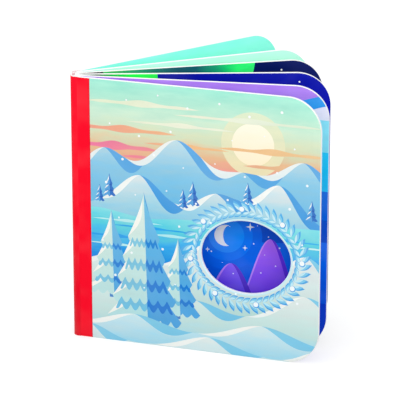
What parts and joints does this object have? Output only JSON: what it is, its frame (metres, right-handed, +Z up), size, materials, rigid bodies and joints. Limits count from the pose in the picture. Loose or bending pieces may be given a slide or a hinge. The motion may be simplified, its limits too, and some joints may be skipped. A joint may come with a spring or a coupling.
{
  "type": "board book",
  "caption": "Children's board book standing open like a fan, with stiff leaves, round fore-edge corners, hinged covers and an oval window die-cut in the front cover.",
  "frame": {"origin": "foot of the line on which the leaves fan, at the middle of the page block's tail edge", "axes": "+Z up along the spine, +X square to the spine towards the fore edge, +Y from the front cover towards the back cover"},
  "size_m": [0.15, 0.1502, 0.159],
  "materials": {
    "front_cover": "printed board with satin film",
    "page_block": "printed white board with satin film",
    "spine_wrap": "red printed wrap with satin film",
    "back_cover": "printed board with satin film"
  },
  "bodies": {
    "block": {"page_block": "page_block", "spine_wrap": "spine_wrap"},
    "front": {"front_cover": "front_cover"},
    "back": {"back_cover": "back_cover"}
  },
  "joints": [
    {"name": "front_cover_hinge", "type": "hinge", "parent": "block", "child": "front", "pos_m": [0, -0.00765, 0], "axis": [0, 0, -1], "range_deg": [-9, 161]},
    {"name": "back_cover_hinge", "type": "hinge", "parent": "block", "child": "back", "pos_m": [0, 0.00765, 0], "axis": [0, 0, 1], "range_deg": [-15, 143]}
  ]
}
